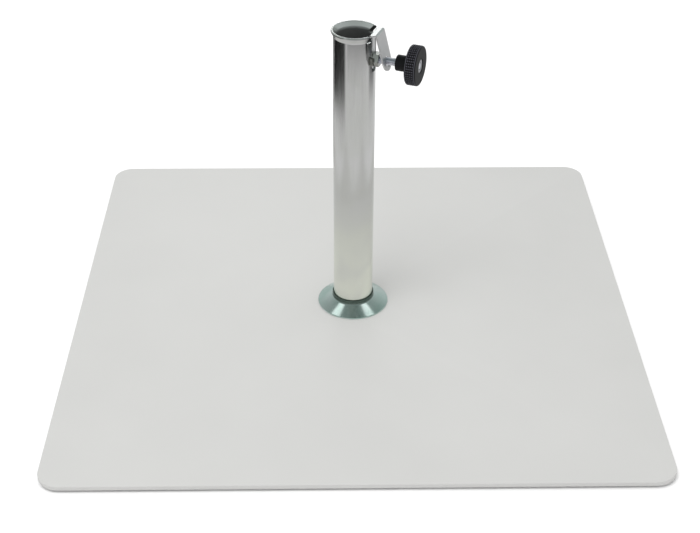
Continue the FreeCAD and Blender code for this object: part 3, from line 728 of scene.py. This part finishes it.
def folded_line():
    """The leaf's outer face from the side: (out, height) points from the inner foot to the round end."""
    end = (LEAF_REACH + LEAF_LONG * math.sin(TILT), FOLD_LEVEL - LEAF_LONG * math.cos(TILT))
    corners = [(LEG_FACE, LEG_FOOT), (LEG_FACE, TAB_LEVEL), (LEAF_REACH, FOLD_LEVEL), end]
    return soften(corners, [0, FOLD_ROUND, FOLD_ROUND, 0], 8)


def blank_edge(line_long):
    """One side of the flat blank: (along, half width) points from the inner foot to the round end."""
    leg, half_wide, shoulder = 4.5 * MM, 11 * MM, 2 * MM
    root = RIM - shoulder - LEG_FOOT
    round_end = half_wide - 0.05 * MM
    edge = [(0, 0), (0, leg), (root, leg), (root, half_wide), (line_long, half_wide), (line_long, 0)]
    return soften(edge, [0, 0.8 * MM, 0.5 * MM, 0.8 * MM, round_end, 0], 16)


LEAF_LINE = folded_line()
MARKS = [0.0]
for before, after in zip(LEAF_LINE, LEAF_LINE[1:]):
    MARKS.append(MARKS[-1] + (after - before).length)
print("the leaf's blank is", round(MARKS[-1] / MM, 1), "mm long before folding")

# %% [markdown]
# ## Folding and punching the leaf
# Folding keeps the length of the outer face and turns the sheet square to it. A point of the blank is
# carried to the straight piece of line that it lies on, and its depth goes along a normal that swings
# evenly from one piece to the next, so the sheet stays equally thick round the bends. The screw's hole
# and the small dimple below it come last, and then the edges are broken.

# %% Clamp leaf
def carried(along, across, deep):
    """Where a point of the flat blank comes to lie on the folded leaf."""
    hair = 1e-7
    number = max(place for place, mark in enumerate(MARKS[:-1]) if mark <= along + hair)
    directions = [(after - before).normalized() for before, after in zip(LEAF_LINE, LEAF_LINE[1:])]
    heading = directions[number]
    before = directions[max(number - 1, 0)]
    after = directions[min(number + 1, len(directions) - 1)]
    share = (along - MARKS[number]) / (MARKS[number + 1] - MARKS[number])
    first, last = (before + heading).normalized(), (heading + after).normalized()
    facing = (first * (1 - share) + last * share).normalized()
    point = LEAF_LINE[number] + heading * (along - MARKS[number]) - Vector((-facing.y, facing.x)) * deep
    return CLAMP @ Vector((point.x, across, point.y))


def folded_blank():
    side = blank_edge(MARKS[-1])[1:-1]
    outline = [*side, *((along, -half) for along, half in reversed(side))]
    blank = block("folded_leaf", outline, 0, SHEET)
    work = bmesh.new()
    work.from_mesh(blank.data)
    for mark in MARKS[1:-1]:
        everything = work.verts[:] + work.edges[:] + work.faces[:]
        bmesh.ops.bisect_plane(work, geom=everything, plane_co=(mark, 0, 0), plane_no=(1, 0, 0))
    for corner in work.verts:
        corner.co = carried(*corner.co)
    bmesh.ops.recalc_face_normals(work, faces=work.faces)
    work.to_mesh(blank.data)
    work.free()
    return blank


def clamp_leaf():
    leaf = folded_blank()
    hole, punch_start, punch_end = 4.7 * MM, 21.5 * MM, 46 * MM
    punch = [(0, punch_start), (hole, punch_start), (hole, punch_end), (0, punch_end)]
    cut(leaf, shape("punch", *turned(punch, 64), SCREW_LINE))
    ball, sunk, down, steps = 5 * MM, 0.5 * MM, 36.3 * MM, 48
    over = ball - sunk
    middle = (LEAF_REACH + down * math.sin(TILT) + over * math.cos(TILT), 0,
              FOLD_LEVEL - down * math.cos(TILT) + over * math.sin(TILT))
    angles = [math.pi * step / steps for step in range(1, steps)]
    arc = [(0, -ball), *((ball * math.sin(angle), -ball * math.cos(angle)) for angle in angles), (0, ball)]
    cut(leaf, shape("ball", *turned(arc, 64), CLAMP @ Matrix.Translation(middle)))
    break_edges(leaf, 0.18 * MM)
    return leaf


dress(clamp_leaf(), "leaf", PRESSED_LEAF_ZINC, "leaf_zinc", "clamp_leaf")

# %% [markdown]
# ## The clamp screw
# The screw is an M8 stud with a rolled thread, one turn each 1.25 mm. A bump map could suggest it, but a
# thread is a shape, and the light should run along its flanks. The surface is a grid of rings along the
# stud and steps round it, and each point's radius says how deep the groove is there. Both ends are
# chamfered.

# %% Clamp screw
PITCH = 1.25 * MM
SCREW_TIP, SCREW_END = reach("clamp_screw", OUT)


def thread_radius(along, angle, crest, depth):
    """Radius of a rolled thread at this place: flat crests and roots with slanted flanks between."""
    crest_edge, flank = 0.88, 0.66
    turn = (along / PITCH - angle / (2 * math.pi)) % 1
    height = abs(2 * turn - 1)
    return crest - depth * min(1, max(0, (crest_edge - height) / flank))


def clamp_screw(steps=40, slices=10):
    crest, depth, chamfer = 3.95 * MM, 0.7 * MM, 0.9 * MM
    count = round((SCREW_END - SCREW_TIP) / PITCH * slices)
    points, rings = [Vector((0, 0, SCREW_TIP))], [[0] * steps]
    for number in range(count + 1):
        along = SCREW_TIP + (SCREW_END - SCREW_TIP) * number / count
        edge = crest - chamfer + min(along - SCREW_TIP, SCREW_END - along)
        rings.append(range(len(points), len(points) + steps))
        for step in range(steps):
            angle = 2 * math.pi * step / steps
            radius = min(edge, thread_radius(along, angle, crest, depth))
            points.append(Vector((radius * math.cos(angle), radius * math.sin(angle), along)))
    rings.append([len(points)] * steps)
    points.append(Vector((0, 0, SCREW_END)))
    return shape("threaded_clamp_screw", points, strips(rings), SCREW_LINE)


dress(clamp_screw(), "knob", SCREW_ZINC, "zinc_screws", "clamp_screw")

# %% [markdown]
# ## The knob
# The knob is a moulded grip on a round hub. Its rim has a cross-cut grip: small square studs in four
# rows, between two and three millimetres apart, with grooves between them. The whole knob is one outline
# turned round the screw, and where the outline runs along the rim, the radius drops into the grooves.
# Turning a plain rim and cutting the grooves with Booleans would take some fifty cutters for the same
# shape.

# %% Knob
STUD, BUSH = 4 * MM, 6.5 * MM
KNOB_START, KNOB_END = reach("knob", OUT)
HUB_END = KNOB_START + 13 * MM
HUB, GRIP = 8 * MM, 20 * MM


def groove(place, width):
    """How deep a groove is at this share of a stud: 1 in the middle of the groove, 0 on the stud."""
    away = abs((place + 0.5) % 1 - 0.5)
    flank = 0.45 * width
    return min(1.0, max(0.0, (width - away) / flank))


def knob(studs=48, rows=4, fine=8):
    steps = studs * fine
    round_edge, recess = 1.8 * MM, 7 * MM
    groove_deep, groove_wide, overlap = 0.85 * MM, 0.3, 0.4 * MM
    rim_start, rim_end = HUB_END + round_edge, KNOB_END - round_edge
    recess_floor, socket_floor = KNOB_END - 0.6 * MM, KNOB_START + 3 * MM
    outline = soften(
        [(STUD, KNOB_START), (HUB, KNOB_START), (HUB, HUB_END), (GRIP, HUB_END), (GRIP, KNOB_END),
         (recess, KNOB_END), (recess, recess_floor), (BUSH, recess_floor),
         (BUSH, socket_floor), (STUD, socket_floor)],
        [0, 0.8 * MM, 1 * MM, round_edge, round_edge, 0.3 * MM, 0.1 * MM, 0, 0, 0])
    hair, long_step = 1e-6, 2 * MM
    straight = next(place for place, (before, after) in enumerate(zip(outline, outline[1:]))
                    if min(before.x, after.x) > GRIP - hair and after.y - before.y > long_step)
    rim = [Vector((GRIP, rim_start + (rim_end - rim_start) * step / (rows * fine)))
           for step in range(1, rows * fine)]
    outline[straight + 1:straight + 1] = rim
    points, rings = [], []
    for radius, height in outline:
        rings.append(range(len(points), len(points) + steps))
        row = (height - rim_start) / (rim_end - rim_start) * rows
        for step in range(steps):
            angle = 2 * math.pi * step / steps
            sunk = 0.0
            if rim_start - overlap < height < rim_end + overlap and radius > GRIP - overlap:
                sunk = groove_deep * max(groove(step / fine, groove_wide), groove(row, groove_wide))
            points.append(((radius - sunk) * math.cos(angle), (radius - sunk) * math.sin(angle), height))
    return shape("moulded_knob", points, strips(rings), SCREW_LINE)


dress(knob(), "knob", MOULDED_NYLON, "black_plastic", "knob")

# %% [markdown]
# ## The steel bush
# A turned bush is moulded into the knob and holds the stud's end. Only its bright face shows in the
# shallow recess, a ring round the end of the stud, with its edges broken inside and out. A cylinder with
# a hole would do for the shape. The lathe tool gives the broken edges as well, so the face catches a line
# of light.

# %% Knob insert
def knob_bush():
    start, end = reach("knob_insert", OUT)
    corners = [(STUD, start), (BUSH, start), (BUSH, end), (STUD, end)]
    outline = soften(corners, [0, 0.3 * MM, 0.3 * MM, 0.4 * MM], 4)
    return shape("turned_knob_bush", *turned(outline, 72), SCREW_LINE)


dress(knob_bush(), "knob", TURNED_STEEL, "insert_steel", "knob_insert")

# %% [markdown]
# ## The pieces under the cover
# The foot disc, its weld and the four countersunk screws are hardly seen, and their engineering shapes
# are already right, hexagon sockets included. They keep their meshes and only get a real finish in place
# of the plain colour that they came with.

# %% Finishes for the hidden pieces
HIDDEN = {"foot_disc": DISC_ZINC, "foot_weld": WELD_ZINC}
HIDDEN.update({f"fixing_screw_{number}": SCREW_ZINC for number in range(1, 5)})
for node, finish in HIDDEN.items():
    for material_slot in frame["nodes"][node].material_slots:
        material_slot.material = finish
print("dressed in place:", sorted(HIDDEN))

# %% [markdown]
# ## The floor
# The base stands on a plain pale floor, large enough to reach the horizon from any side. It is matt, with
# a very faint mottle, so that the soft shadow under the plate's edge reads as contact.

# %% Floor
def pale_floor():
    finish, tree = new_finish("matt_pale_floor")
    place = add(tree, "ShaderNodeTexCoord", {}).outputs["Object"]
    mottle = add(tree, "ShaderNodeTexNoise", {"Vector": place, "Scale": 3.0, "Detail": 3.0})
    colour = add(tree, "ShaderNodeMix", {"data_type": "RGBA", 0: mottle.outputs["Fac"],
                                         6: linear("#F6F6F6"), 7: linear("#FAFAFA")})
    matt = add(tree, "ShaderNodeBsdfPrincipled", {"Base Color": colour.outputs[2], "Roughness": 0.9,
                                                  "Specular IOR Level": 0.0})
    add(tree, "ShaderNodeOutputMaterial", {"Surface": matt.outputs[0]})
    return finish


def sheet_of_floor(name, corners, height, finish):
    made = shape(name, [(x, y, height) for x, y in corners], [list(range(len(corners)))])
    made.data.materials.append(finish)
    print(name, "lies at", round(height / MM, 1), "mm")
    return made


WIDE = 40.0
FLOOR_SQUARE = [(-WIDE, -WIDE), (WIDE, -WIDE), (WIDE, WIDE), (-WIDE, WIDE)]
sheet_of_floor("pale_floor", FLOOR_SQUARE, 0.0, pale_floor())

# %% [markdown]
# ## Cards for the metal to reflect
# Shiny metal shows its surroundings, so a studio gives it something to show. In an all-white room the
# tube would look like plaster. An upright wall seen from above mirrors the floor: the higher the point on
# the tube, the further out it looks. So card lies on the floor round the base, pale close by and grey
# further out. The cards are seen only in reflections, and cast no shadow on the floor.

# %% Grey card
def only_in_reflections(card):
    card.visible_camera = False
    card.visible_diffuse = False
    card.visible_shadow = False
    card.visible_transmission = False
    card.visible_volume_scatter = False


PALE, GREY = "#EFEFEF", "#D4D4D4"
LAYER = 0.5 * MM


def card_paper(name, colour_of):
    """Matt paper; colour_of(tree, parts, distance) gives its colour from the place on the floor."""
    finish, tree = new_finish(name)
    place = add(tree, "ShaderNodeTexCoord", {}).outputs["Object"]
    parts = add(tree, "ShaderNodeSeparateXYZ", {0: place})
    distance = add(tree, "ShaderNodeVectorMath", {"operation": "LENGTH", 0: place})
    colour = colour_of(tree, parts.outputs, distance.outputs["Value"])
    paper = add(tree, "ShaderNodeBsdfDiffuse", {"Color": colour, "Roughness": 0.6})
    add(tree, "ShaderNodeOutputMaterial", {"Surface": paper.outputs[0]})
    return finish


def pale_to_grey(tree, parts, distance):
    """Pale round the base and greyer further out, between two distances in metres."""
    pale_end, grey_start = 0.15, 0.42
    out = add(tree, "ShaderNodeMapRange", {"Value": distance, "From Min": pale_end, "From Max": grey_start})
    return add(tree, "ShaderNodeMix", {"data_type": "RGBA", 0: out.outputs[0],
                                       6: linear(PALE), 7: linear(GREY)}).outputs[2]


grey_paper = card_paper("grey_card", pale_to_grey)
only_in_reflections(sheet_of_floor("grey_card_round_base", FLOOR_SQUARE, LAYER, grey_paper))

# %% [markdown]
# ## Dark cards
# The dark bands down a bright tube are what make it look round and polished. Each band is a dark card to
# one side, and each is cut like a fan, because a direction from the tube becomes an upright line on it. A
# band ends where its card fades to grey, towards the base and at both sides. There are fans to the left,
# to the right and in front, and a small one behind on the left that draws the tube's dark edge line.

# %% Dark cards
def grey_to_dark(dark, first, last, soft, near, full):
    """Dark between two bearings and beyond full, and grey at its soft sides and near edge."""
    half, middle = math.radians(last - first) / 2, math.radians(first + last) / 2

    def colour_of(tree, parts, distance):
        ahead = add(tree, "ShaderNodeMath", {"operation": "MULTIPLY", 0: parts[1], 1: -1.0})
        heading = add(tree, "ShaderNodeMath", {"operation": "ARCTAN2", 0: parts[0], 1: ahead.outputs[0]})
        turn = add(tree, "ShaderNodeMath", {"operation": "SUBTRACT", 0: heading.outputs[0], 1: middle})
        aside = add(tree, "ShaderNodeMath", {"operation": "ABSOLUTE", 0: turn.outputs[0]})
        across = add(tree, "ShaderNodeMapRange", {"interpolation_type": "SMOOTHSTEP",
                                                  "Value": aside.outputs[0],
                                                  "From Min": half - math.radians(soft), "From Max": half,
                                                  "To Min": 1.0, "To Max": 0.0})
        beyond = add(tree, "ShaderNodeMapRange", {"interpolation_type": "SMOOTHSTEP", "Value": distance,
                                                  "From Min": near, "From Max": full})
        share = add(tree, "ShaderNodeMath", {"operation": "MULTIPLY", 0: across.outputs[0],
                                             1: beyond.outputs[0]})
        return add(tree, "ShaderNodeMix", {"data_type": "RGBA", 0: share.outputs[0],
                                           6: linear(GREY), 7: linear(dark)}).outputs[2]
    return colour_of


def dark_fan(name, height, dark, first, last, soft, near, full):
    """A fan of card: first, last and soft are bearings in degrees from -Y, near and full are in metres."""
    corners, pieces, far = [], 8, 1.8
    for distance, order in ((near, range(pieces + 1)), (far, range(pieces, -1, -1))):
        for number in order:
            angle = math.radians(first + (last - first) * number / pieces)
            corners.append((distance * math.sin(angle), -distance * math.cos(angle)))
    paper = card_paper(name, grey_to_dark(dark, first, last, soft, near, full))
    only_in_reflections(sheet_of_floor(name, corners, height, paper))


BLACK, CHARCOAL, SLATE = "#070707", "#1C1C1C", "#303030"
dark_fan("dark_card_left", 2 * LAYER, BLACK, -150, -45, 13, 0.47, 0.575)
dark_fan("dark_card_right", 2 * LAYER, CHARCOAL, 76, 132, 14, 0.53, 0.665)
dark_fan("dark_card_front", 2 * LAYER, BLACK, -45, 70, 6, 0.725, 0.76)
dark_fan("dark_card_behind_left", 3 * LAYER, SLATE, -179, -146, 8, 0.05, 0.08)

# %% [markdown]
# ## The room
# The room itself gives most of the light, even from every side, which keeps the shadows faint. A plain
# white room would do for that, but metal would then mirror nothing but white. So in reflections the room
# runs from pale at the horizon to a darker grey-green overhead, like a studio's ceiling.

# %% The room
def studio_room():
    world = bpy.data.worlds.new("studio_room")
    bpy.context.scene.world = world
    world.use_nodes = True
    tree = world.node_tree
    tree.nodes.clear()
    heading = add(tree, "ShaderNodeTexCoord", {}).outputs["Generated"]
    climb = add(tree, "ShaderNodeSeparateXYZ", {0: heading}).outputs[2]
    steep = add(tree, "ShaderNodeMapRange", {"Value": climb, "From Min": 0.35, "From Max": 0.95})
    mirrored = add(tree, "ShaderNodeMix", {"data_type": "RGBA", 0: steep.outputs[0],
                                           6: linear("#C2CAC8"), 7: linear("#7E8986")})
    shiny = add(tree, "ShaderNodeLightPath", {}).outputs["Is Glossy Ray"]
    seen = add(tree, "ShaderNodeMix", {"data_type": "RGBA", 0: shiny,
                                       6: linear("#F4F4F4"), 7: mirrored.outputs[2]})
    room = add(tree, "ShaderNodeBackground", {"Color": seen.outputs[2], "Strength": 1.0})
    add(tree, "ShaderNodeOutputWorld", {"Surface": room.outputs[0]})
    print("world:", world.name)


studio_room()

# %% [markdown]
# ## Soft boxes
# One large soft box high in front, a little to the left, lights the plate and gives its faint shadow. It
# is kept out of reflections, where it would make a hard patch on the ring. Three small boxes are there
# for their reflections: two high at the left and right make the bright patches on the cover ring, and one
# low at the back whitens the tab of the leaf. Point lights would make sparks there, and a soft box makes
# a surface.

# %% Soft boxes
def soft_box(name, at, towards, wide, tall, power, mirrored=True):
    """An area light at one place, turned towards another; sizes in metres, power in watts."""
    lamp = bpy.data.lights.new(name, "AREA")
    lamp.shape = "RECTANGLE"
    lamp.size, lamp.size_y, lamp.energy = wide, tall, power
    made = bpy.data.objects.new(name, lamp)
    bpy.context.scene.collection.objects.link(made)
    made.location = at
    made.rotation_euler = (Vector(towards) - Vector(at)).to_track_quat("-Z", "Y").to_euler()
    made.visible_camera = False
    made.visible_glossy = mirrored
    print(name, power, "W")


for name, aside in (("left", -0.55), ("right", 0.55)):
    soft_box(f"soft_box_{name}", (aside, 0.42, 1.50), (0, 0, 0), wide=0.22, tall=0.34, power=0.28)
soft_box("soft_box_back", (-0.16, 1.90, 0.91), (0, 0, 0.33), wide=0.8, tall=0.28, power=2.1)
soft_box("soft_box_front", (-0.6, -0.7, 2.4), (0, 0, 0.1), wide=1.2, tall=1.2, power=24, mirrored=False)

# %% [markdown]
# ## The camera
# The camera looks down at 33 degrees from about a metre and a half away, through a lens just under 69 mm
# long on a 36 mm sensor, and is turned one degree to the right with a hint of roll. It could be aimed
# with a Track To constraint, but that leaves the roll to chance. Its place is counted in plate widths
# from the middle of the plate's top, so that it keeps its view if the plate's size is changed.

# %% Camera
def studio_camera():
    side = PLATE_HIGH.x - PLATE_LOW.x
    yaw, pitch, roll = math.radians(1.08), math.radians(33.40), math.radians(0.28)
    ahead = Vector((math.sin(yaw) * math.cos(pitch), math.cos(yaw) * math.cos(pitch), -math.sin(pitch)))
    right = Vector((math.cos(yaw), -math.sin(yaw), 0))
    above = right.cross(ahead)
    right, above = (right * math.cos(roll) + above * math.sin(roll),
                    above * math.cos(roll) - right * math.sin(roll))
    lens = bpy.data.cameras.new("studio_camera")
    lens.lens, lens.sensor_width = 68.55, 36
    camera = bpy.data.objects.new("studio_camera", lens)
    bpy.context.scene.collection.objects.link(camera)
    camera.matrix_world = Matrix((right, above, -ahead)).transposed().to_4x4()
    station = Vector((-0.044, -2.029, 1.411)) * side
    camera.location = station + Vector((0, 0, PLATE_TOP))
    bpy.context.scene.camera = camera
    print("camera place in m:", [round(part, 3) for part in camera.location], "lens in mm:", lens.lens)


studio_camera()
bpy.context.scene.view_settings.view_transform = "Standard"
